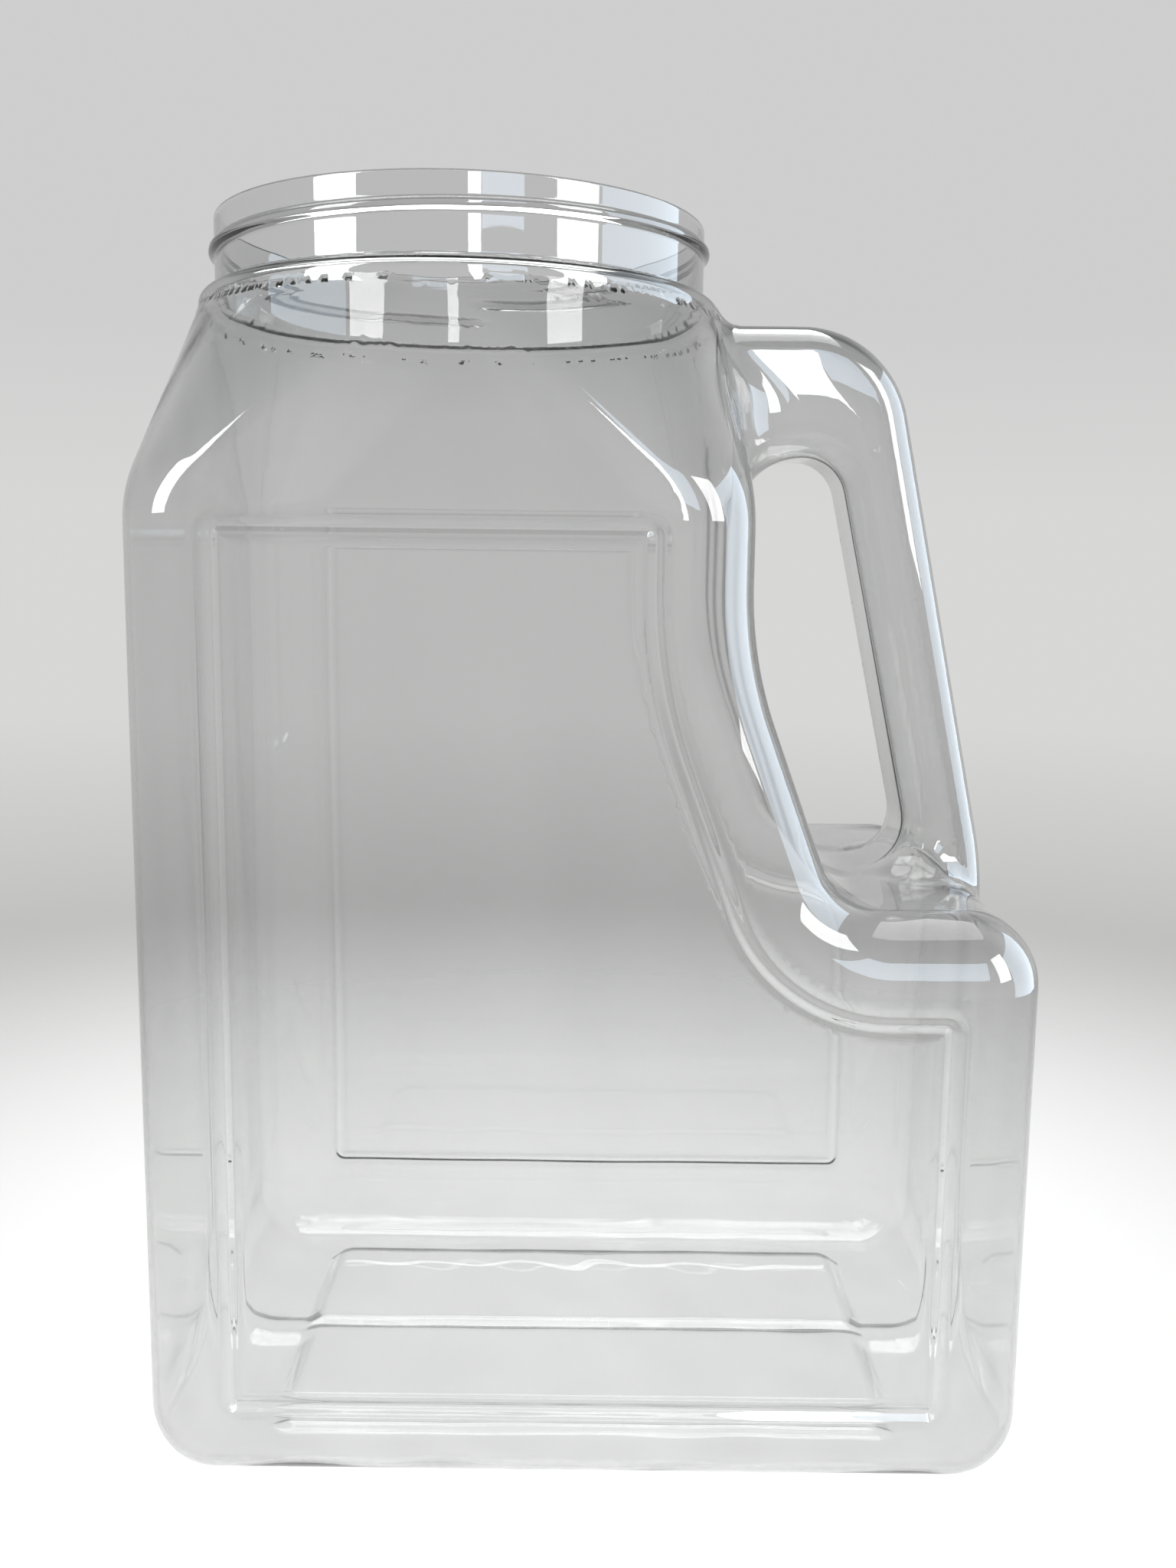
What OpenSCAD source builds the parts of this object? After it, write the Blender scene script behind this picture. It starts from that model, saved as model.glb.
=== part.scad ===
// Clear wide-mouth jug: one blow-moulded bottle with a side grip and a hollow handle.
// The moulding is drawn as the regions that its mould forms, which meet face to face.
// Origin: middle of the footprint, on the surface the jug stands on. +Z up, handle towards +X.

/* [Body] */
// Width of the body at the base, along X
body_w = 182; // [150:1:220]
// Depth of the body, along Y
body_d = 129; // [120:1:160]
// Width of the tall part beside the handle
tall_w = 122.5; // [118:0.5:150]
// Height where the upright walls end and the shoulder starts
shoulder_z = 202; // [195:1:245]
// Height of the low block under the handle
block_z = 121; // [95:1:135]
// Wall thickness of the body and the handle
wall = 0.9; // [0.6:0.1:2]
// Radius of the body's outer edges
edge_r = 15; // [10:0.5:17]

/* [Side grip] */
// Distance from the tall part's side to where the slope meets the block top
slope_run = 18.5; // [12:0.5:24]
// Height of the slope beside the finger gap
slope_rise = 50; // [35:1:58]
// Hollow radius at the foot of the slope
slope_foot_r = 13; // [8:1:20]
// Hollow radius at the head of the slope
slope_head_r = 80; // [30:5:110]

/* [Label panels] */
// Distance from the body's outline to the middle of the panel's step
panel_margin = 19; // [18:0.5:24]
// Depth of the panel below the wall
panel_depth = 0.9; // [0.4:0.1:2]
// Width of the sloped step round the panel
panel_step = 2.4; // [1:0.2:4]
// Corner radius of the panel
panel_corner_r = 2.5; // [1:0.5:6]
// Upright gap between the panel's upper edge and the shoulder
panel_head = 5.5; // [3:0.5:12]

/* [Base] */
// Distance from the body's sides to the hollow under the base
foot_band = 22.5; // [18:0.5:30]
// Height of the hollow under the base
push_up = 3; // [1:0.5:6]
// Length of the hollow's sloped side
push_up_slope = 3; // [1:0.5:6]

/* [Neck and mouth] */
// Outer radius of the neck
neck_r = 53.5; // [44:0.5:55]
// Wall thickness of the neck
neck_wall = 1.3; // [0.9:0.1:2.5]
// Height of the neck above the shoulder
neck_h = 15.4; // [12:0.2:24]
// Height of the shoulder, from the upright walls to the neck
shoulder_h = 44; // [34:1:60]
// Width of the ledge round the foot of the neck
ledge_w = 3.6; // [2:0.2:6]
// Height of the rounding under that ledge
ledge_h = 4; // [2:0.5:8]

/* [Cap thread] */
// How far the thread stands out from the neck
thread_depth = 1.2; // [0.8:0.1:2]
// Width of the thread at its root
thread_w = 3; // [2:0.2:4]
// Width of the thread at its crest
thread_crest = 0.8; // [0.4:0.1:1.5]
// Rise of the thread in one turn
thread_pitch = 5.08; // [4:0.01:6.5]
// Gap from the rim down to the thread's upper end
thread_lead = 3.6; // [2.6:0.1:6]
// Length of the thread, in degrees
thread_turn = 372; // [340:1:420]

/* [Handle] */
// Width of the handle across the fingers, along Y
handle_w = 32; // [24:1:44]
// Thickness of the grip
grip_t = 16.6; // [13:0.2:22]
// Lean of the grip from upright, in degrees
grip_lean = 12.4; // [6:0.2:16]
// Height of the handle's upper limb
limb_t = 28; // [20:1:34]
// Gap from the neck's foot down to the top of the handle
handle_drop = 5; // [3:0.5:12]
// Outer radius of the handle's upper corner
handle_corner_r = 24; // [15:1:30]
// Radius of the finger gap's upper outer corner
gap_corner_r = 9.5; // [5:0.5:14]
// Radius of the finger gap's lower outer corner
gap_foot_r = 11; // [6:0.5:16]
// Radius of the handle's long edges
handle_edge_r = 6.5; // [3:0.5:8]

/* [Hidden] */
left_x = -body_w / 2;
right_x = body_w / 2;
tall_x = left_x + tall_w;
neck_x = left_x + tall_w / 2;
neck_z = shoulder_z + shoulder_h;
bore_r = neck_r - neck_wall;
front_y = -body_d / 2;
handle_top = neck_z - handle_drop;
gap_top = handle_top - limb_t;
base_cut = edge_r + 0.5;
side_cut = body_d / 2 - edge_r - 0.5;
block_cut = block_z - edge_r - 1;
slope_cut = block_z + slope_foot_r;
limb_start = 30;
foot_rise = 3;
foot_flare = 3;
foot_draft = 1;
push_up_corner_r = 6;
mouth_relief = 0.3;
rim_bevel = 0.4;
thread_fade = 5;
thread_end_share = 0.15;
thread_seat = 0.005;
thread_steps = 124;
bend_steps = 5;
foot_steps = 3;
corner_steps = 6;
edge_steps = 5;
far = 300;
sharp_r = 0.4;
hair = 0.02;
beyond = 20;

function unit(v) = v / norm(v);
function inward(u) = [-u.y, u.x];
function meet(p, u, q, v) = p + u * (cross(q - p, v) / cross(u, v));
function short_turn(a) = a > 180 ? a - 360 : a < -180 ? a + 360 : a;

// One corner of an outline, moved inwards by inset_in and inset_out on its two sides.
function corner(prev, at, next, r, inset_in, inset_out, steps) =
    let (u = unit(at - prev), v = unit(next - at))
    let (side = cross(u, v) > 0 ? 1 : -1)
    let (c = meet(at + inward(u) * (inset_in + side * r), u,
                  at + inward(v) * (inset_out + side * r), v))
    let (from = -side * inward(u), to = -side * inward(v))
    let (a0 = atan2(from.y, from.x))
    let (turn = short_turn(atan2(to.y, to.x) - a0))
    [for (k = [0:steps]) c + r * [cos(a0 + turn * k / steps), sin(a0 + turn * k / steps)]];

// A rounded outline, anticlockwise, moved inwards by inset. open_side names a side that stays.
function outline(corners, radii, inset, least_r, open_side = -1) =
    let (n = len(corners))
    [for (i = [0:n - 1])
        let (prev = corners[(i + n - 1) % n], at = corners[i], next = corners[(i + 1) % n])
        let (convex = cross(at - prev, next - at) > 0)
        let (r = convex ? max(radii[i] - inset, least_r) : radii[i] + inset)
        let (side_in = (i + n - 1) % n == open_side ? 0 : inset)
        let (side_out = i == open_side ? 0 : inset)
        let (open = side_in != side_out || (side_in == 0 && radii[i] == 0))
        each (open || radii[i] == 0
              ? corner(prev, at, next, hair, side_in, side_out, 1)
              : corner(prev, at, next, r, side_in, side_out, corner_steps))];

// The body seen from the front: [x, z], anticlockwise from the lower left.
function body_corners(top) = [[left_x, 0], [right_x, 0], [right_x, block_z],
    [tall_x + slope_run, block_z], [tall_x, block_z + slope_rise], [tall_x, top], [left_x, top]];
body_radii = [edge_r, edge_r, edge_r, slope_foot_r, slope_head_r, 0, 0];
base_radii = [edge_r, edge_r, 0, 0];
panel_radii = [edge_r, edge_r, edge_r, slope_foot_r, slope_head_r, edge_r, edge_r];

// Handle stations, each [inner point, outer point] as [x, z], from the shoulder to the block.
function grip_out(z) = right_x - (z - block_z) * tan(grip_lean);
function grip_in(z) = grip_out(z) - grip_t / cos(grip_lean);
function on_arc(centre, r, a) = centre + r * [sin(a), cos(a)];
function corner_centre(x, z, r) = [x - r * tan((90 - grip_lean) / 2), z - r];
limb_x = neck_x + limb_start;
limb_stations = [[[limb_x, gap_top], [limb_x, handle_top]], corner_station(0)];
function corner_station(k) =
    let (a = (90 - grip_lean) * k / bend_steps)
    [on_arc(corner_centre(grip_in(gap_top), gap_top, gap_corner_r), gap_corner_r, a),
     on_arc(corner_centre(grip_out(handle_top), handle_top, handle_corner_r), handle_corner_r, a)];
foot_top = block_z + foot_rise + gap_foot_r;
foot_centre = [grip_in(foot_top) - gap_foot_r / cos(grip_lean), foot_top];
function foot_station(k) =
    let (a = 90 + 90 * k / foot_steps, z = foot_top - (foot_top - block_z) * k / foot_steps)
    [on_arc(foot_centre, gap_foot_r, a), [grip_out(z), z]];
grip_stations = concat([for (k = [0:bend_steps]) corner_station(k)], [foot_station(0)]);
foot_stations = concat([for (k = [0:foot_steps]) foot_station(k)],
    [[[foot_centre.x - foot_flare, block_cut], [right_x - foot_draft, block_cut]]]);
all_stations = concat(limb_stations, grip_stations, foot_stations);

// An outline as a ring of points, upright at a depth y or level at a height z.
function at_y(ring, y) = [for (p = ring) [p.x, y, p.y]];
function at_z(ring, z) = [for (p = ring) [p.x, p.y, z]];
function rectangle(half_w, half_d) =
    [[-half_w, -half_d], [half_w, -half_d], [half_w, half_d], [-half_w, half_d]];

// Solid through equal rings, each anticlockwise as seen from ahead of the first one.
module loft(rings) {
    n = len(rings[0]);
    last = len(rings) - 1;
    polyhedron(
        points = [for (ring = rings) each ring],
        faces = concat(
            [[for (i = [0:n - 1]) (n - i) % n], [for (i = [0:n - 1]) last * n + i]],
            [for (k = [0:last - 1]) for (i = [0:n - 1])
                [k * n + i, k * n + (i + 1) % n, (k + 1) * n + (i + 1) % n]],
            [for (k = [0:last - 1]) for (i = [0:n - 1])
                [k * n + i, (k + 1) * n + (i + 1) % n, (k + 1) * n + i]]),
        convexity = 8);
}

// Stations [inset, y] across one long edge of radius r, from the face at y = -half inwards.
function edge_stations(half, r, inset) =
    [for (k = [0:edge_steps]) let (a = 90 * k / edge_steps)
        [inset + r * (1 - sin(a)), -half + r * (1 - cos(a))]];

module slab_through(corners, radii, stations, open_side)
    loft([for (s = stations) at_y(outline(corners, radii, s[0], sharp_r, open_side), s[1])]);

// Outline carried from front to back, with its long edges rounded to radius r.
module rounded_slab(corners, radii, half, r, inset, open_side = -1) {
    front = edge_stations(half, r, inset);
    back = [for (k = [edge_steps:-1:0]) [front[k][0], -front[k][1]]];
    slab_through(corners, radii, concat(front, back), open_side);
}

// The front part of such a slab, as far back as y = -stop.
module front_slab(corners, radii, half, r, inset, stop, open_side) {
    slab_through(corners, radii, concat(edge_stations(half, r, inset), [[inset, -stop]]),
                 open_side);
}

// Hollow of the front label panel; shift moves it into the wall.
module panel_hollow(shift) {
    corners = body_corners(shoulder_z - panel_head + panel_margin);
    inner = outline(corners, panel_radii, panel_margin + panel_step / 2, panel_corner_r / 2);
    outer = outline(corners, panel_radii, panel_margin - panel_step / 2, panel_corner_r);
    loft([at_y(outer, front_y - beyond), at_y(outer, front_y + shift),
          at_y(inner, front_y + shift + panel_depth + hair)]);
}

// The body's outline between two heights, as a plate of the wall's thickness.
module skin_strip(low, high) {
    rotate([90, 0, 0]) linear_extrude(2 * side_cut, center = true)
        intersection() {
            difference() {
                polygon(outline(body_corners(shoulder_z), body_radii, 0, sharp_r, 5));
                polygon(outline(body_corners(shoulder_z + beyond), body_radii, wall, sharp_r, 5));
            }
            translate(low) square(high - low);
        }
}

// Level ring of the hollow under the base, grown from the edge of its flat top.
function push_up_ring(z, grow) =
    at_z(outline(rectangle(body_w / 2 - foot_band - push_up_slope + grow,
                           body_d / 2 - foot_band - push_up_slope + grow),
                 push_up_radii, 0, sharp_r), z);
push_up_radii = [for (k = [0:3]) push_up_corner_r];

module push_up_hollow(inset)
    loft([push_up_ring(push_up + inset, inset), push_up_ring(inset, push_up_slope + inset),
          push_up_ring(inset - beyond, push_up_slope + inset)]);

// Level ring of the shoulder, from the walls' rounded rectangle at 0 to a circle at 1.
function shoulder_ring(t, z, circle_r, inset) =
    let (half_w = tall_w / 2 * (1 - t) + circle_r * t - inset)
    let (half_d = body_d / 2 * (1 - t) + circle_r * t - inset)
    let (r = edge_r * (1 - t) + (circle_r - hair) * t - inset)
    [for (p = at_z(outline(rectangle(half_w, half_d), [r, r, r, r], 0, r), z))
        p + [neck_x, 0, 0]];

// Shoulder from the rounded rectangle of the walls to the ledge under the neck.
module shoulder_body(inset) {
    ledge_r = neck_r + ledge_w;
    round_over = [for (a = [90, 60, 30])
        shoulder_ring(1, neck_z - ledge_h * (1 - sin(a)) - inset * sin(a),
                      neck_r + ledge_w * cos(a) + inset * (1 - cos(a)), inset)];
    loft(concat(round_over, [shoulder_ring(1, neck_z - ledge_h, ledge_r, inset),
                             shoulder_ring(0, shoulder_z, ledge_r, inset),
                             shoulder_ring(0, shoulder_z - beyond, ledge_r, inset)]));
}

// Cross-section of the handle, from its inner point to its outer point.
module handle_plate(station, inset) {
    across = station[1] - station[0];
    half_t = norm(across) / 2 - inset;
    half_w = handle_w / 2 - inset;
    r = handle_edge_r - inset;
    centre = (station[0] + station[1]) / 2;
    translate([centre.x, 0, centre.y]) rotate([0, -atan2(across.y, across.x), 0])
        linear_extrude(hair, center = true)
            polygon(outline(rectangle(half_t, half_w), [r, r, r, r], 0, r));
}

module handle_run(stations, inset)
    for (k = [0:len(stations) - 2])
        hull() {
            handle_plate(stations[k], inset);
            handle_plate(stations[k + 1], inset);
        }

module handle_tube(stations)
    difference() {
        handle_run(stations, 0);
        handle_run(all_stations, wall);
    }

module base() {
    corners = [[left_x, 0], [right_x, 0], [right_x, base_cut], [left_x, base_cut]];
    tall = [[left_x, 0], [right_x, 0], [right_x, beyond], [left_x, beyond]];
    color([0.84, 0.87, 0.86, 0.6])
        difference() {
            rounded_slab(corners, base_radii, body_d / 2, edge_r, 0, 2);
            difference() {
                rounded_slab(tall, base_radii, body_d / 2 - wall, edge_r - wall, wall, 2);
                push_up_hollow(wall);
            }
            push_up_hollow(0);
        }
}

module front_skin()
    difference() {
        front_slab(body_corners(shoulder_z), body_radii, body_d / 2, edge_r, 0, side_cut, 5);
        difference() {
            front_slab(body_corners(shoulder_z + beyond), body_radii, body_d / 2 - wall,
                       edge_r - wall, wall, side_cut - beyond, 5);
            panel_hollow(wall);
        }
        panel_hollow(0);
        translate([-far, -far, base_cut - far]) cube([2 * far, 2 * far, far]);
    }

module front_wall()
    color([0.86, 0.88, 0.88, 0.6]) front_skin();

module back_wall()
    color([0.86, 0.88, 0.88, 0.6]) mirror([0, 1, 0]) front_skin();

module left_wall()
    color([0.8, 0.83, 0.83, 0.6])
        translate([left_x, -side_cut, base_cut]) cube([wall, 2 * side_cut, shoulder_z - base_cut]);

module right_wall()
    color([0.8, 0.83, 0.83, 0.6])
        translate([right_x - wall, -side_cut, base_cut])
            cube([wall, 2 * side_cut, block_cut - base_cut]);

module block_top()
    color([0.78, 0.82, 0.83, 0.6])
        difference() {
            skin_strip([left_x + edge_r, block_cut], [right_x + beyond, slope_cut]);
            handle_run(all_stations, wall);
        }

module grip_wall()
    color([0.76, 0.8, 0.82, 0.6])
        skin_strip([left_x + edge_r, slope_cut], [right_x, shoulder_z]);

module shoulder()
    color([0.82, 0.84, 0.84, 0.6])
        difference() {
            shoulder_body(0);
            shoulder_body(wall);
            handle_run(all_stations, wall);
            translate([neck_x, 0, neck_z - beyond])
                cylinder(r = bore_r + mouth_relief, h = 2 * beyond, $fn = 128);
            translate([-far, -far, shoulder_z - 2 * beyond]) cube([2 * far, 2 * far, 2 * beyond]);
        }

module neck_finish()
    color([0.8, 0.82, 0.82, 0.6])
        translate([neck_x, 0, neck_z])
            rotate_extrude($fn = 128)
                polygon([[bore_r, 0], [neck_r, 0], [neck_r, neck_h - rim_bevel],
                         [neck_r - rim_bevel, neck_h], [bore_r, neck_h]]);

// Thread: a trapezoid carried up a helix, running out to nothing at both ends.
module cap_thread() {
    rise = thread_pitch * thread_turn / 360;
    start_z = neck_h - thread_lead - rise;
    root_r = neck_r + thread_seat;
    rings = [for (k = [0:thread_steps])
        let (a = 90 - (thread_turn - 360) / 2 + thread_turn * k / thread_steps)
        let (z = start_z + rise * k / thread_steps)
        let (share = min(1, k / thread_fade, (thread_steps - k) / thread_fade))
        let (r = root_r + thread_depth * max(thread_end_share, share))
        let (profile = [[root_r, z - thread_w / 2], [r, z - thread_crest / 2],
                        [r, z + thread_crest / 2], [root_r, z + thread_w / 2]])
        [for (p = profile) [p.x * cos(a), p.x * sin(a), p.y]]];
    color([0.72, 0.74, 0.74, 0.6]) translate([neck_x, 0, neck_z]) loft(rings);
}

module handle_limb()
    color([0.74, 0.8, 0.86, 0.6])
        difference() {
            handle_tube(limb_stations);
            shoulder_body(0);
        }

module handle_grip()
    color([0.74, 0.8, 0.86, 0.6]) handle_tube(grip_stations);

module handle_foot()
    color([0.74, 0.8, 0.86, 0.6])
        difference() {
            handle_tube(foot_stations);
            rotate([90, 0, 0]) linear_extrude(handle_w + beyond, center = true)
                polygon(outline(body_corners(shoulder_z), body_radii, 0, sharp_r, 5));
        }

base();
front_wall();
back_wall();
left_wall();
right_wall();
block_top();
grip_wall();
shoulder();
neck_finish();
cap_thread();
handle_limb();
handle_grip();
handle_foot();
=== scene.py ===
import math

import bmesh
import bpy
import numpy as np
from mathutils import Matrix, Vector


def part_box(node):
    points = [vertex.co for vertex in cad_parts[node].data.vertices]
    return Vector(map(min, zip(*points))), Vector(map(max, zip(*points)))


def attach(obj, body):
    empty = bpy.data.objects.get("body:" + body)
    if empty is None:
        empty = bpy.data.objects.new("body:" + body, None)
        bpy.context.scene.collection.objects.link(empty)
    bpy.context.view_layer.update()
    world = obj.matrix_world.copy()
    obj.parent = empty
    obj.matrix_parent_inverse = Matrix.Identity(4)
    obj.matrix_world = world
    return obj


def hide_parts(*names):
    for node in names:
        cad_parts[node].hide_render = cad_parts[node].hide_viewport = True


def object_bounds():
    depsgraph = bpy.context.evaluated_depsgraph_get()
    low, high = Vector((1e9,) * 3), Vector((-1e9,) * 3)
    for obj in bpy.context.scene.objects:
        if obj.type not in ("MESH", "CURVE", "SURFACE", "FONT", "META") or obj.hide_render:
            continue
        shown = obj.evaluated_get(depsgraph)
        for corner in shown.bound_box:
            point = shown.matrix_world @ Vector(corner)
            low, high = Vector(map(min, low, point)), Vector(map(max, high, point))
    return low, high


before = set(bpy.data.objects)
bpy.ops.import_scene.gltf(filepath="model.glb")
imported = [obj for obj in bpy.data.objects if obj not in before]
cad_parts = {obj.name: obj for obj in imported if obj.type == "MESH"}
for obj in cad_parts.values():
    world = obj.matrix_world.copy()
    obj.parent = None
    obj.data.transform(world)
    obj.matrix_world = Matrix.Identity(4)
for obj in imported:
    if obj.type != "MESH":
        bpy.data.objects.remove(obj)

import openvdb
from mathutils import Matrix, Vector

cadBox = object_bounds()

# the camera

camera = {"place": (-0.0005, -0.3355, 0.1882), "pitch": 8.44, "roll": 0.68, "lens": 33.28, "sensor": 36.0}


def makeCamera():
    data = bpy.data.cameras.new("jugCamera")
    data.lens = camera["lens"]
    data.sensor_width = camera["sensor"]
    data.clip_start = 0.01
    obj = bpy.data.objects.new("jugCamera", data)
    bpy.context.scene.collection.objects.link(obj)
    pitch, roll = math.radians(camera["pitch"]), math.radians(camera["roll"])
    ahead = Vector((0, math.cos(pitch), -math.sin(pitch)))
    level = Vector((0, math.sin(pitch), math.cos(pitch)))
    side = Vector((1, 0, 0))
    right = side * math.cos(roll) + level * math.sin(roll)
    up = level * math.cos(roll) - side * math.sin(roll)
    turn = Matrix((right, up, -ahead)).transposed().to_4x4()
    obj.matrix_world = Matrix.Translation(camera["place"]) @ turn
    bpy.context.scene.camera = obj


makeCamera()
print("camera placed")

# the jug's sizes, in metres

low, high = cadBox
neckLow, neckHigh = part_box("neck_finish")
limbLow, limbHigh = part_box("handle_limb")
shoulderLow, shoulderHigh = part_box("shoulder")
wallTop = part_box("right_wall")[1].z

body = {
    "left": low.x, "right": high.x, "halfDepth": (high.y - low.y) / 2,
    "edgeRadius": 0.015,        # every long outer edge
    "blockTop": wallTop + 0.016,  # top of the low block under the handle
    "tallRight": low.x + 0.1225,  # side of the tall part, at the finger gap
    "slopeRun": 0.0185, "slopeRise": 0.050, "slopeFoot": 0.013, "slopeHead": 0.080,
    "shoulderStart": shoulderLow.z, "shoulderEnd": shoulderHigh.z - 0.004, "bend": 0.006,
    "flatWidth": 0.031, "flatDip": 0.00022, "creaseWidth": 0.0070,  # the flat triangles of the shoulder
    "flatFaces": (0.030, 0.040), "flatFoot": (0, 0.1), "flatHead": (0.95, 0.60),  # where they fade
}
neck = {
    "x": (neckLow.x + neckHigh.x) / 2, "radius": 0.0535, "bore": 0.0522,
    "foot": neckLow.z, "rim": neckHigh.z, "ledge": 0.0571, "ledgeRound": 0.0030, "ledgeFillet": 0.0006,
    "join": neckLow.z + 0.0030,  # height where the turned neck meets the moulded body
    "rimRound": 0.00055, "innerShare": 0.6,  # the rim is rounder outside than inside
    "joinGap": 0.0005, "rimGap": 0.0001, "boreGap": 0.0012,  # bare strips at the ends of the turned rows
}
thread = {"height": 0.0012, "halfWidth": 0.0015, "halfCrest": 0.0004, "pitch": 0.00508,
          "lead": 0.0036, "turn": 372.0, "fade": 14.0}
handle = {
    "halfWidth": (limbHigh.y - limbLow.y) / 2, "edgeRadius": 0.0065, "top": limbHigh.z,
    "limb": 0.028, "grip": 0.0166, "lean": math.radians(12.4),
    "corner": 0.024, "gapCorner": 0.0095, "heel": 0.080, "inset": 0.0007, "footInset": 0.0025,
    "rootFillet": 0.016, "footFillet": 0.014, "topFillet": 0.0045, "backFillet": 0.0012,
    "rootRise": (0.14, 0.17), "topRise": (-0.020, -0.003), "backReach": (0, 0.020),  # where fillets change
    "crown": 0.0018, "crownReach": 0.014,
    "inside": -0.03, "low": 0.03, "gapLow": 0.09,  # how far its outlines run on into the body
}
panel = {"margin": 0.019, "top": 0.1965, "corner": 0.0025, "step": 0.0025, "depth": 0.0011,
         "innerStep": 0.0060,  # the inside follows the step more softly
         "bead": 0.00032, "beadWidth": 0.0009, "beadIn": 0.0024,
         "faces": (0.045, 0.055)}  # only the front and back faces carry the step
base = {"halfWidth": 0.0700, "halfDepth": 0.0435, "corner": 0.007, "slope": 0.0058, "rise": 0.003,
        "ridge": 0.0012, "ridgeWidth": 0.0016, "ridgeEnd": (0.080, 0.074),
        "notch": 0.0013, "notchWidth": 0.0055, "notchStart": (0.060, 0.066), "reach": (0.020, 0.012)}
wall = {"body": 0.0009, "neck": 0.0013, "neckGrowth": (-0.020, 0.002),
        "uneven": 0.00005, "unevenSize": 0.055, "unevenFade": (0, 0.010),
        "unevenStretch": (1.6, 0.55),  # across and along, as the plastic is drawn out upwards
        "baseUneven": 0.00008, "baseUnevenSize": 0.022, "baseUnevenFade": (0.030, 0.010),
        "sag": 0.00009, "sagSize": 0.075, "sagHead": (0.004, 0.014), "sagFoot": (0, 0.02)}
mesh = {"voxel": 0.0016, "turns": 360, "projections": 3, "probe": 2e-5, "longestStep": 0.001,
        "leastSlope": 0.05, "merge": 0.00004, "row": 0.00035, "boreRows": 9,
        "wideBand": 0.0030, "fineBand": 0.0019}  # half widths of the two rounds of finer faces


# outlines with round corners

def insetCorners(corners, margin):
    moved = []
    for i in range(len(corners)):
        a, b, c = (np.array(corners[k % len(corners)], float) for k in (i - 1, i, i + 1))
        u, v = (b - a) / np.linalg.norm(b - a), (c - b) / np.linalg.norm(c - b)
        p, q = b + margin * np.array((-u[1], u[0])), b + margin * np.array((-v[1], v[0]))
        w = q - p
        t = (w[0] * v[1] - w[1] * v[0]) / (u[0] * v[1] - u[1] * v[0])
        moved.append(p + u * t)
    return moved


def roundedOutline(corners, radii):
    # straight runs and arcs of an anticlockwise outline
    points = [np.array(c, float) for c in corners]
    count = len(points)
    arcs, ends = [], []
    for i in range(count):
        a, b, c = points[i - 1], points[i], points[(i + 1) % count]
        u, v = (b - a) / np.linalg.norm(b - a), (c - b) / np.linalg.norm(c - b)
        turn = math.atan2(u[0] * v[1] - u[1] * v[0], u @ v)
        cut = abs(radii[i] * math.tan(turn / 2))
        start, end = b - u * cut, b + v * cut
        ends.append((start, end))
        if radii[i] > 0:
            side = 1 if turn > 0 else -1
            centre = start + side * radii[i] * np.array((-u[1], u[0]))
            middle = (b - centre) / np.linalg.norm(b - centre)
            arcs.append((centre, radii[i], middle, math.cos(turn / 2), side))
    runs = [(ends[i][1], ends[(i + 1) % count][0]) for i in range(count)]
    return runs, arcs


def outlineDistance(x, z, outline):
    # distance from the outline, negative inside it
    runs, arcs = outline
    best = np.full(np.broadcast(x, z).shape, 9.0)
    signed = best.copy()
    for a, b in runs:
        length = np.linalg.norm(b - a)
        u = (b - a) / length
        px, pz = x - a[0], z - a[1]
        along = np.clip(px * u[0] + pz * u[1], 0, length)
        away = np.hypot(px - along * u[0], pz - along * u[1])
        outside = px * u[1] - pz * u[0]
        nearer = away < best
        best = np.where(nearer, away, best)
        signed = np.where(nearer, np.where(outside > 0, away, -away), signed)
    for centre, radius, middle, spread, side in arcs:
        px, pz = x - centre[0], z - centre[1]
        out = np.hypot(px, pz) + 1e-12
        away = np.abs(out - radius)
        nearer = (away < best) & ((px * middle[0] + pz * middle[1]) / out >= spread)
        best = np.where(nearer, away, best)
        signed = np.where(nearer, (out - radius) * side, signed)
    return signed


def roundedMeet(a, b, r):
    # both shapes at once, with the edge between them rounded to r
    p, q = a + r, b + r
    return np.minimum(np.maximum(p, q), 0) + np.hypot(np.maximum(p, 0), np.maximum(q, 0)) - r


def filletedJoin(a, b, r):
    # either shape, with the inner corner between them filled to r
    return np.maximum(r, np.minimum(a, b)) - np.hypot(np.maximum(r - a, 0), np.maximum(r - b, 0))


def ease(t):
    t = np.clip(t, 0, 1)
    return t * t * (3 - 2 * t)


def ramp(value, start, end):
    return ease((value - start) / (end - start))


def roundedRectangle(x, y, halfX, halfY, r):
    px, py = np.abs(x) - halfX + r, np.abs(y) - halfY + r
    return np.minimum(np.maximum(px, py), 0) + np.hypot(np.maximum(px, 0), np.maximum(py, 0)) - r


openTop = 0.40  # outlines run up to here, clear of the rim
bodyCorners = [
    (body["left"], 0), (body["right"], 0), (body["right"], body["blockTop"]),
    (body["tallRight"] + body["slopeRun"], body["blockTop"]),
    (body["tallRight"], body["blockTop"] + body["slopeRise"]),
    (body["tallRight"], openTop), (body["left"], openTop)]
edge = body["edgeRadius"]
bodyOutline = roundedOutline(bodyCorners, [edge, edge, edge, body["slopeFoot"], body["slopeHead"], 0, 0])
panelTop = [(x, min(z, panel["top"] + panel["margin"])) for x, z in bodyCorners]
panelOutline = roundedOutline(
    insetCorners(panelTop, panel["margin"]),
    [panel["corner"]] * 3 + [body["slopeFoot"] + panel["margin"], body["slopeHead"] + panel["margin"]]
    + [panel["corner"]] * 2)
flare = 2.0  # the neck's profile widens at this slope below the ledge, clear of the shoulder
deep = 0.6
pastMiddle = -0.05
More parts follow.
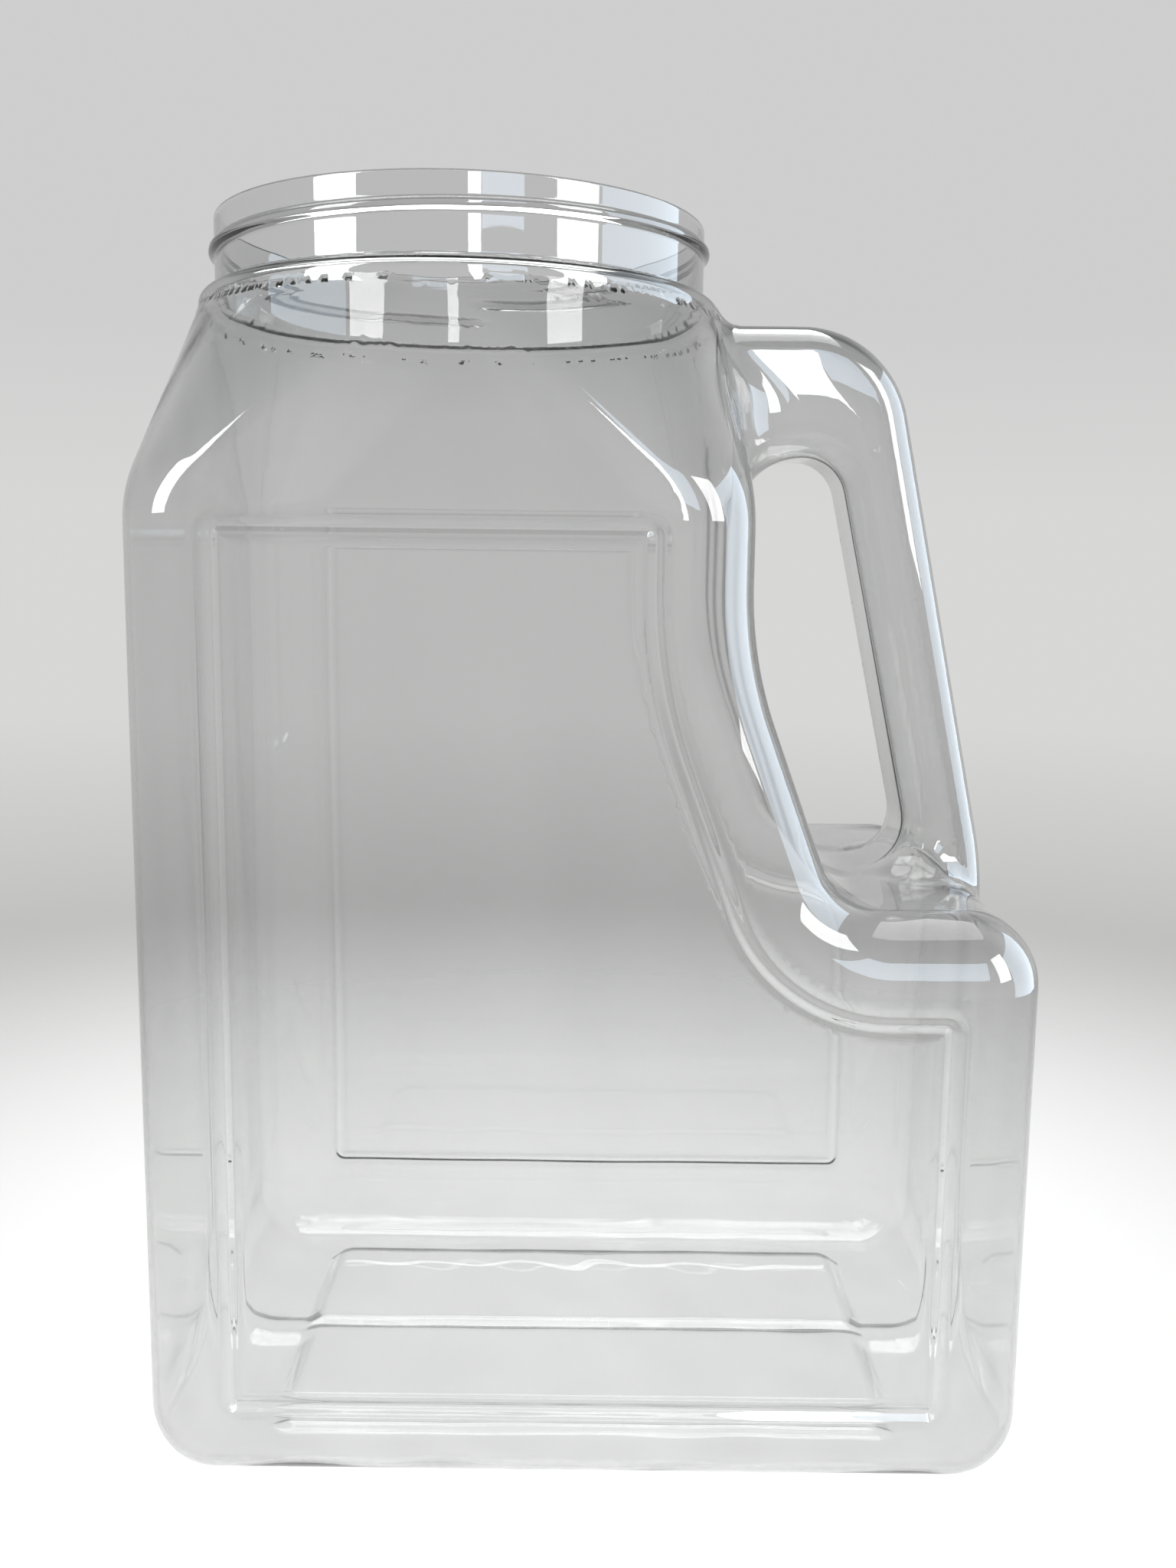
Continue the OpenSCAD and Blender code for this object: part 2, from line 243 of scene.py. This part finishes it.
neckOutline = roundedOutline(
    [(pastMiddle, body["shoulderEnd"] - deep), (neck["ledge"] + flare * deep, body["shoulderEnd"] - deep),
     (neck["ledge"], body["shoulderEnd"]), (neck["ledge"], neck["foot"]),
     (neck["radius"], neck["foot"]), (neck["radius"], openTop), (pastMiddle, openTop)],
    [0, 0, 0, neck["ledgeRound"], neck["ledgeFillet"], 0, 0])


def gripOuter(z):
    return body["right"] - (z - body["blockTop"]) * math.tan(handle["lean"])


def gripInner(z):
    return gripOuter(z) - handle["grip"] / math.cos(handle["lean"])


gapTop = handle["top"] - handle["limb"]
handleOutline = roundedOutline(
    [(handle["inside"], handle["low"]), (body["right"] - handle["footInset"], handle["low"]),
     (body["right"] - handle["inset"], body["blockTop"]), (gripOuter(handle["top"]), handle["top"]),
     (handle["inside"], handle["top"])],
    [0, 0, handle["heel"], handle["corner"], 0])
gapOutline = roundedOutline(
    [(handle["inside"], handle["gapLow"]), (gripInner(handle["gapLow"]), handle["gapLow"]),
     (gripInner(gapTop), gapTop), (handle["inside"], gapTop)],
    [0, 0, handle["gapCorner"], 0])


# the moulded form

def waves(x, y, z, scale, seed):
    # slow, uneven swell of blown plastic, between about -1 and 1
    rng = np.random.default_rng(seed)
    total = 0
    for k in range(7):
        way = rng.normal(size=3)
        way *= rng.uniform(0.7, 1.7) / (scale * np.linalg.norm(way))
        total = total + np.sin(2 * math.pi * (x * way[0] + y * way[1] + z * way[2]) + rng.uniform(0, 6.3))
    return total / 3.5


def shoulderRamp(z):
    start, end, soft = body["shoulderStart"], body["shoulderEnd"], body["bend"]
    run = end - start
    bend = np.maximum(z - start + soft, 0) ** 2 / (4 * soft * run)
    rising = np.where(z < start + soft, bend, (z - start) / run)
    soft = soft / 2
    left = np.maximum(end + soft - z, 0) ** 2 / (4 * soft * run)
    return np.where(z > end - soft, 1 - left, rising)


def shoulderDistance(x, y, z):
    t = shoulderRamp(z)
    halfX = (body["tallRight"] - body["left"]) / 2 * (1 - t) + neck["ledge"] * t
    halfY = body["halfDepth"] * (1 - t) + neck["ledge"] * t
    r = edge * (1 - t) + neck["ledge"] * t
    level = roundedRectangle(x - neck["x"], y, halfX, halfY, r)
    flat = ease((body["flatWidth"] * (1 - t) - np.abs(x - neck["x"])) / body["creaseWidth"] + 0.5)
    fade = ramp(np.abs(y), *body["flatFaces"]) * ramp(t, *body["flatFoot"]) * ramp(t, *body["flatHead"])
    level = level + body["flatDip"] * flat * fade
    return level - 2 * np.maximum(body["shoulderStart"] - body["bend"] - z, 0)


def baseHeight(x, y):
    away = roundedRectangle(x, y, base["halfWidth"], base["halfDepth"], base["corner"])
    inside = ease(-away / base["slope"])
    ridge = base["ridge"] * np.exp(-(y / base["ridgeWidth"]) ** 2) * ramp(np.abs(x), *base["ridgeEnd"])
    notch = base["notch"] * np.exp(-(y / base["notchWidth"]) ** 4) * ramp(np.abs(x), *base["notchStart"])
    return base["rise"] * inside + notch * (1 - inside) - ridge * inside


def beadHeight(step):
    return panel["bead"] * np.exp(-((step + panel["beadIn"]) / panel["beadWidth"]) ** 2)


def jugDistance(x, y, z):
    # distance from the jug's outer surface, negative inside it
    flat = outlineDistance(x, z, bodyOutline)
    blown = roundedMeet(flat, np.abs(y) - body["halfDepth"], edge)
    blown = np.maximum(blown, shoulderDistance(x, y, z))
    blown = np.maximum(blown, outlineDistance(np.hypot(x - neck["x"], y), z, neckOutline))
    faces = ramp(np.abs(y), *panel["faces"])
    step = outlineDistance(x, z, panelOutline)
    blown = blown + panel["depth"] * faces * ease(0.5 - step / panel["step"])
    blown = blown - faces * beadHeight(step)
    side = np.maximum(outlineDistance(x, z, handleOutline), -outlineDistance(x, z, gapOutline))
    bow = handle["crown"] * np.clip(1 + side / handle["crownReach"], 0, 1) ** 2
    grip = roundedMeet(side, np.abs(y) - handle["halfWidth"] + bow, handle["edgeRadius"])
    r = handle["footFillet"] + (handle["rootFillet"] - handle["footFillet"]) * ramp(z, *handle["rootRise"])
    r = r + (handle["topFillet"] - r) * ramp(z - handle["top"], *handle["topRise"])
    r = handle["backFillet"] + (r - handle["backFillet"]) * ramp(body["right"] - x, *handle["backReach"])
    whole = filletedJoin(blown, grip, r) + ramp(z, *base["reach"]) * baseHeight(x, y)
    calm = ramp(neck["foot"] - z, *wall["sagHead"]) * ramp(z, *wall["sagFoot"])
    return whole + wall["sag"] * calm * (0.75 + 0.55 * waves(x, y, z, wall["sagSize"], 3))


def wallThickness(x, y, z):
    t = wall["body"] + (wall["neck"] - wall["body"]) * ramp(z - neck["foot"], *wall["neckGrowth"])
    fade = ramp(neck["foot"] - z, *wall["unevenFade"])
    floorward = ramp(z, *wall["baseUnevenFade"])
    across, along = wall["unevenStretch"]
    t = t + fade * wall["uneven"] * waves(x * across, y * across, z * along, wall["unevenSize"], 5)
    step = outlineDistance(x, z, panelOutline)
    faces = ramp(np.abs(y), *panel["faces"])
    softer = ease(0.5 - step / panel["innerStep"]) - ease(0.5 - step / panel["step"])
    t = t + faces * (panel["depth"] * softer + beadHeight(step))
    return t + floorward * wall["baseUneven"] * waves(x, y, z, wall["baseUnevenSize"], 8)


def gradient(p, form=jugDistance):
    h = mesh["probe"]
    g = np.empty_like(p)
    for k in range(3):
        a, b = p.copy(), p.copy()
        a[:, k] += h
        b[:, k] -= h
        g[:, k] = (form(*a.T) - form(*b.T)) / (2 * h)
    return g


def onSurface(p, held=None):
    # carries points onto the jug's surface
    for _ in range(mesh["projections"]):
        g = gradient(p)
        step = (jugDistance(*p.T) / np.maximum((g * g).sum(1), mesh["leastSlope"]))[:, None] * g
        size = np.linalg.norm(step, axis=1, keepdims=True)
        step *= np.minimum(1, mesh["longestStep"] / np.maximum(size, 1e-12))
        if held is not None:
            step[held] = 0
        p = p - step
    return p


def blownForm():
    size = mesh["voxel"]
    start = np.array(low) - 4 * size
    count = np.ceil((np.array(high) + 4 * size - start) / size).astype(int)
    x = (start[0] + size * np.arange(count[0]))[:, None, None]
    y = (start[1] + size * np.arange(count[1]))[None, :, None]
    z = (start[2] + size * np.arange(count[2]))[None, None, :]
    field = jugDistance(x, y, z).astype(np.float32)
    grid = openvdb.FloatGrid()
    grid.copyFromArray(field)
    points, quads = grid.convertToQuads(isovalue=0.0)
    return start + np.asarray(points, float) * size, np.asarray(quads, int)


points, quads = blownForm()
print("form blown:", len(points), "points,", len(quads), "faces")


def cutAtNeck(points, quads):
    m = bpy.data.meshes.new("form")
    m.from_pydata(points.tolist(), [], quads.tolist())
    bm = bmesh.new()
    bm.from_mesh(m)
    bpy.data.meshes.remove(m)
    everything = bm.verts[:] + bm.edges[:] + bm.faces[:]
    bmesh.ops.bisect_plane(bm, geom=everything, dist=1e-5, plane_co=(0, 0, neck["join"]),
                           plane_no=(0, 0, 1), clear_outer=True)
    return bm


def refineSteps(bm):
    # finer faces along the panels' steps, the neck's ledge and the shapes under the base
    floorZone, skin = 0.006, 0.003
    stepMargin, ledgeMargin, slopeMargin = 0.0004, 0.0010, 0.0010
    for reach in (mesh["wideBand"], mesh["fineBand"]):
        x, y, z = np.array([f.calc_center_median()[:] for f in bm.faces]).T
        step = outlineDistance(x, z, panelOutline) + panel["beadIn"] / 3
        chosen = (np.abs(step) < reach + stepMargin) & (np.abs(y) > body["halfDepth"] - skin)
        ring = np.hypot(x - neck["x"], y)
        chosen |= (z > neck["foot"] - ledgeMargin - reach) & (ring < neck["ledge"] + reach)
        chosen |= (z < floorZone) & (np.abs(y) < reach)
        if reach == mesh["wideBand"]:
            away = np.maximum(np.abs(x) - base["halfWidth"], np.abs(y) - base["halfDepth"])
            chosen |= (z < floorZone) & (np.abs(away + base["slope"] / 2) < reach + slopeMargin)
        bm.faces.ensure_lookup_table()
        edges = {e for k in np.flatnonzero(chosen) for e in bm.faces[k].edges}
        bmesh.ops.subdivide_edges(bm, edges=list(edges), cuts=1, use_grid_fill=True)
    bmesh.ops.triangulate(bm, faces=[f for f in bm.faces if len(f.verts) > 4])


def zipLoops(lowLoop, highLoop, lowAngle, highAngle):
    # triangles between two rings of points, both in order of angle
    faces = []
    i, j, n, m = 0, 0, len(lowLoop), len(highLoop)
    done = 99
    while i < n or j < m:
        nextLow = lowAngle[(i + 1) % n] + (2 * math.pi if i + 1 >= n else 0) if i < n else done
        nextHigh = highAngle[(j + 1) % m] + (2 * math.pi if j + 1 >= m else 0) if j < m else done
        if nextLow <= nextHigh:
            faces.append((lowLoop[i % n], lowLoop[(i + 1) % n], highLoop[j % m]))
            i += 1
        else:
            faces.append((lowLoop[i % n], highLoop[(j + 1) % m], highLoop[j % m]))
            j += 1
    return faces


def threadHeight(angle, z):
    # how far the cap thread stands out at a place on the neck
    rise = thread["pitch"] * thread["turn"] / 360
    first = neck["rim"] - thread["lead"] - rise
    start = 90 - (thread["turn"] - 360) / 2
    total = np.zeros(np.broadcast(angle, z).shape)
    for lap in (0, 360):
        along = (np.degrees(angle) - start) % 360 + lap
        middle = first + rise * along / thread["turn"]
        across = np.abs(z - middle)
        shape = ease((thread["halfWidth"] - across) / (thread["halfWidth"] - thread["halfCrest"]))
        ends = ease(np.minimum(along, thread["turn"] - along) / thread["fade"])
        total = np.maximum(total, thread["height"] * shape * ends)
    return total


def neckRows():
    # rows of the turned neck: up the outside, over the rim and down the bore
    angle = 2 * math.pi * np.arange(mesh["turns"]) / mesh["turns"]
    lip, rim, foot = neck["rimRound"], neck["rim"], neck["join"]
    rows = []
    for z in np.arange(foot + neck["joinGap"], rim - lip - neck["rimGap"], mesh["row"]):
        rows.append((neck["radius"] + threadHeight(angle, z), z))
    for a in np.radians((0, 22.5, 45, 67.5, 90)):
        rows.append((neck["radius"] - lip * (1 - math.cos(a)) + 0 * angle, rim - lip * (1 - math.sin(a))))
    inner = lip * neck["innerShare"]
    for a in np.radians((90, 60, 30, 0)):
        rows.append((neck["bore"] + inner * (1 - math.cos(a)) + 0 * angle, rim - inner * (1 - math.sin(a))))
    for z in np.linspace(rim - inner - neck["boreGap"], foot + neck["joinGap"], mesh["boreRows"]):
        rows.append((neck["bore"] + 0 * angle, z))
    return angle, [np.column_stack((neck["x"] + r * np.cos(angle), r * np.sin(angle), np.full(len(angle), z)))
                   for r, z in rows]


def buildShell():
    bm = cutAtNeck(points, quads)
    refineSteps(bm)
    bmesh.ops.remove_doubles(bm, verts=bm.verts[:], dist=mesh["merge"])
    bm.verts.index_update()
    place = np.array([v.co[:] for v in bm.verts])
    rimVerts = np.array([v.is_boundary for v in bm.verts])
    faces = [tuple(v.index for v in f.verts) for f in bm.faces]
    bm.free()
    outer = onSurface(place, rimVerts)
    dx, dy = outer[rimVerts, 0] - neck["x"], outer[rimVerts, 1]
    out = np.hypot(dx, dy)
    outer[rimVerts] = np.column_stack((neck["x"] + dx / out * neck["radius"], dy / out * neck["radius"],
                                       np.full(len(out), neck["join"])))
    normal = gradient(outer)
    normal /= np.linalg.norm(normal, axis=1, keepdims=True)
    normal[rimVerts] = np.column_stack((dx / out, dy / out, 0 * out))
    inner = outer - normal * wallThickness(*outer.T)[:, None]
    lean = gradient(outer, wallThickness)  # the inside leans where the wall grows thicker
    lean[rimVerts] = 0
    innerNormal = -normal - lean + normal * (lean * normal).sum(1, keepdims=True)
    n = len(outer)
    angle, rows = neckRows()
    turns = mesh["turns"]
    allPoints = np.vstack([outer, inner] + rows)
    allFaces = list(faces) + [tuple(i + n for i in reversed(f)) for f in faces]
    first = 2 * n
    for k in range(len(rows) - 1):
        a, b = first + k * turns, first + (k + 1) * turns
        allFaces += [(a + i, a + (i + 1) % turns, b + (i + 1) % turns, b + i) for i in range(turns)]
    loop = np.flatnonzero(rimVerts)
    around = np.arctan2(outer[loop, 1], outer[loop, 0] - neck["x"]) % (2 * math.pi)
    order = np.argsort(around)
    loop, around = loop[order], around[order]
    lastRow = first + (len(rows) - 1) * turns
    allFaces += zipLoops(list(loop), list(range(first, first + turns)), around, angle)
    inside = zipLoops(list(loop + n), list(range(lastRow, lastRow + turns)), around, angle)
    allFaces += [f[::-1] for f in inside]
    m = bpy.data.meshes.new("jugShell")
    m.from_pydata(allPoints.tolist(), [], [tuple(int(i) for i in f) for f in allFaces])
    m.validate()
    bm = bmesh.new()
    bm.from_mesh(m)
    bmesh.ops.recalc_face_normals(bm, faces=bm.faces[:])
    openEdges = sum(1 for e in bm.edges if len(e.link_faces) != 2)
    bm.to_mesh(m)
    bm.free()
    m.shade_smooth()
    shading = np.empty(len(m.vertices) * 3)
    m.vertices.foreach_get("normal", shading)
    shading = shading.reshape(-1, 3)
    shading[:n], shading[n:2 * n] = normal, innerNormal
    shading /= np.linalg.norm(shading, axis=1, keepdims=True)
    m.normals_split_custom_set_from_vertices(shading.tolist())
    obj = bpy.data.objects.new("jugShell", m)
    bpy.context.scene.collection.objects.link(obj)
    print("shell built:", len(m.vertices), "points,", len(m.polygons), "faces,", openEdges, "open edges")
    return obj


shell = buildShell()

# clear plastic

plastic = {"tint": (0.985, 0.988, 0.988), "ior": 1.575, "roughness": 0.018, "ripple": 0.02,
           "rippleScale": 60.0, "rippleDetail": 2.0, "rippleReach": 0.001,
           "stretch": (1.0, 1.0, 0.35),  # the plastic is drawn out upwards
           "depthTint": (0.50, 0.504, 0.498), "depth": 350.0}


def clearPlastic():
    m = bpy.data.materials.new("clearPet")
    m.use_nodes = True
    nodes, links = m.node_tree.nodes, m.node_tree.links
    shader = nodes["Principled BSDF"]
    shader.inputs["Base Color"].default_value = (*plastic["tint"], 1)
    shader.inputs["Roughness"].default_value = plastic["roughness"]
    shader.inputs["IOR"].default_value = plastic["ior"]
    shader.inputs["Transmission Weight"].default_value = 1.0
    place = nodes.new("ShaderNodeTexCoord")
    stretch = nodes.new("ShaderNodeMapping")
    stretch.inputs["Scale"].default_value = plastic["stretch"]
    ripple = nodes.new("ShaderNodeTexNoise")
    ripple.inputs["Scale"].default_value = plastic["rippleScale"]
    ripple.inputs["Detail"].default_value = plastic["rippleDetail"]
    bump = nodes.new("ShaderNodeBump")
    bump.inputs["Strength"].default_value = plastic["ripple"]
    bump.inputs["Distance"].default_value = plastic["rippleReach"]
    links.new(place.outputs["Object"], stretch.inputs["Vector"])
    links.new(stretch.outputs["Vector"], ripple.inputs["Vector"])
    links.new(ripple.outputs["Fac"], bump.inputs["Height"])
    links.new(bump.outputs["Normal"], shader.inputs["Normal"])
    inside = nodes.new("ShaderNodeVolumeAbsorption")
    inside.inputs["Color"].default_value = (*plastic["depthTint"], 1)
    inside.inputs["Density"].default_value = plastic["depth"]
    links.new(inside.outputs["Volume"], nodes["Material Output"].inputs["Volume"])
    return m


shell.data.materials.append(clearPlastic())
shell.visible_shadow = False  # the clear wall throws next to no shadow
shell.visible_diffuse = False
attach(shell, "root")
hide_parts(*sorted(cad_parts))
print("plastic made")

# floor, backdrop and lights

studio = {
    "floor": (0.88, 0.88, 0.875), "floorRoughness": 0.85, "floorDrop": 0.0002,
    "floorNear": -0.03, "floorFar": 0.52,  # the floor fades out between these radii
    "horizon": (0.53, 0.53, 0.525), "behind": (0.68, 0.68, 0.675), "above": (0.62, 0.62, 0.62),
    "dark": (0.22, 0.225, 0.23), "worldPower": 1.0,
    "lightsAim": (0, 0, 0.15),
    "topTurn": -20, "topRise": 72, "topSize": 2.4, "topPower": 74, "topDistance": 2.2,
}
sky = [("horizon", 0.0), ("horizon", 0.385), ("behind", 0.45), ("behind", 0.52), ("above", 0.58),
       ("above", 0.72), ("dark", 0.86), ("dark", 1.0)]  # from straight down to straight up
windows = [  # name, turn from ahead to the right in degrees, height angle, width, height, power, colour
    ("whiteLeft", -127, 25, 0.9, 1.5, 48, (1.0, 1.0, 1.0)),
    ("whiteRight", 123, 25, 0.9, 1.5, 48, (1.0, 1.0, 1.0)),
    ("skyRight", 84, 12, 2.4, 2.4, 80, (0.70, 0.85, 1.0)),
    ("whiteBehind", 170.5, 20, 0.24, 1.3, 12, (1.0, 1.0, 1.0)),
    ("skyBehind", 158, 27, 0.8, 1.1, 14, (0.70, 0.85, 1.0)),
]


def makeFloor():
    bm = bmesh.new()
    rings = [0.0, 0.08, 0.16, 0.24, 0.32, 0.42, 0.55, 0.7, 0.9, 1.1, 1.35]
    bmesh.ops.create_circle(bm, cap_ends=False, radius=rings[1], segments=96)
    edges = bm.edges[:]
    for r0, r1 in zip(rings[1:], rings[2:]):
        grown = bmesh.ops.extrude_edge_only(bm, edges=edges)["geom"]
        verts = [g for g in grown if isinstance(g, bmesh.types.BMVert)]
        bmesh.ops.scale(bm, verts=verts, vec=(r1 / r0, r1 / r0, 1))
        edges = [g for g in grown if isinstance(g, bmesh.types.BMEdge)]
    inner = [e for e in bm.edges if e.is_boundary and e.verts[0].co.length < rings[1] * 1.01]
    bmesh.ops.contextual_create(bm, geom=inner)
    bmesh.ops.recalc_face_normals(bm, faces=bm.faces[:])
    m = bpy.data.meshes.new("studioFloor")
    bm.to_mesh(m)
    bm.free()
    obj = bpy.data.objects.new("studioFloor", m)
    bpy.context.scene.collection.objects.link(obj)
    obj.location.z = -studio["floorDrop"]
    mat = bpy.data.materials.new("paleFloor")
    mat.use_nodes = True
    nodes, links = mat.node_tree.nodes, mat.node_tree.links
    shader = nodes["Principled BSDF"]
    shader.inputs["Base Color"].default_value = (*studio["floor"], 1)
    shader.inputs["Roughness"].default_value = studio["floorRoughness"]
    clear = nodes.new("ShaderNodeBsdfTransparent")
    mix = nodes.new("ShaderNodeMixShader")
    place = nodes.new("ShaderNodeTexCoord")
    out = nodes.new("ShaderNodeVectorMath")
    out.operation = "LENGTH"
    fade = nodes.new("ShaderNodeMapRange")
    fade.interpolation_type = "SMOOTHSTEP"
    fade.inputs["From Min"].default_value = studio["floorNear"]
    fade.inputs["From Max"].default_value = studio["floorFar"]
    links.new(place.outputs["Object"], out.inputs[0])
    links.new(out.outputs["Value"], fade.inputs["Value"])
    links.new(fade.outputs["Result"], mix.inputs["Fac"])
    links.new(shader.outputs["BSDF"], mix.inputs[1])
    links.new(clear.outputs["BSDF"], mix.inputs[2])
    links.new(mix.outputs["Shader"], nodes["Material Output"].inputs["Surface"])
    m.materials.append(mat)


def makeWorld():
    world = bpy.data.worlds.new("studio")
    bpy.context.scene.world = world
    world.use_nodes = True
    nodes, links = world.node_tree.nodes, world.node_tree.links
    place = nodes.new("ShaderNodeTexCoord")
    split = nodes.new("ShaderNodeSeparateXYZ")
    shades = nodes.new("ShaderNodeValToRGB")
    shift = nodes.new("ShaderNodeMapRange")
    shift.inputs["From Min"].default_value = -1.0
    shift.inputs["From Max"].default_value = 1.0
    stops = shades.color_ramp.elements
    for stop, (tone, at) in zip(list(stops), (sky[0], sky[-1])):
        stop.position, stop.color = at, (*studio[tone], 1)
    for tone, at in sky[1:-1]:
        stops.new(at).color = (*studio[tone], 1)
    back = nodes["Background"]
    back.inputs["Strength"].default_value = studio["worldPower"]
    links.new(place.outputs["Generated"], split.inputs["Vector"])
    links.new(split.outputs["Z"], shift.inputs["Value"])
    links.new(shift.outputs["Result"], shades.inputs["Fac"])
    links.new(shades.outputs["Color"], back.inputs["Color"])


def makeLight(name, turn, rise, width, height, power, colour, distance=2.5):
    data = bpy.data.lights.new(name, "AREA")
    data.shape = "RECTANGLE"
    data.size, data.size_y = width, height
    data.energy = power
    data.color = colour
    obj = bpy.data.objects.new(name, data)
    bpy.context.scene.collection.objects.link(obj)
    a, e = math.radians(turn), math.radians(rise)
    target = Vector(studio["lightsAim"])
    way = Vector((math.sin(a) * math.cos(e), math.cos(a) * math.cos(e), math.sin(e)))
    obj.location = target + way * distance
    obj.rotation_euler = (-way).to_track_quat("-Z", "Y").to_euler()
    return obj


def makeLights():
    for window in windows:
        light = makeLight(*window)
        light.visible_camera = False
        light.visible_transmission = False
        light.visible_diffuse = False
    top = makeLight("softTop", studio["topTurn"], studio["topRise"], studio["topSize"], studio["topSize"],
                    studio["topPower"], (1.0, 1.0, 1.0), studio["topDistance"])
    top.visible_camera = False
    top.visible_glossy = False


makeFloor()
makeWorld()
makeLights()
bpy.context.scene.view_settings.view_transform = "Standard"
print("studio lit")
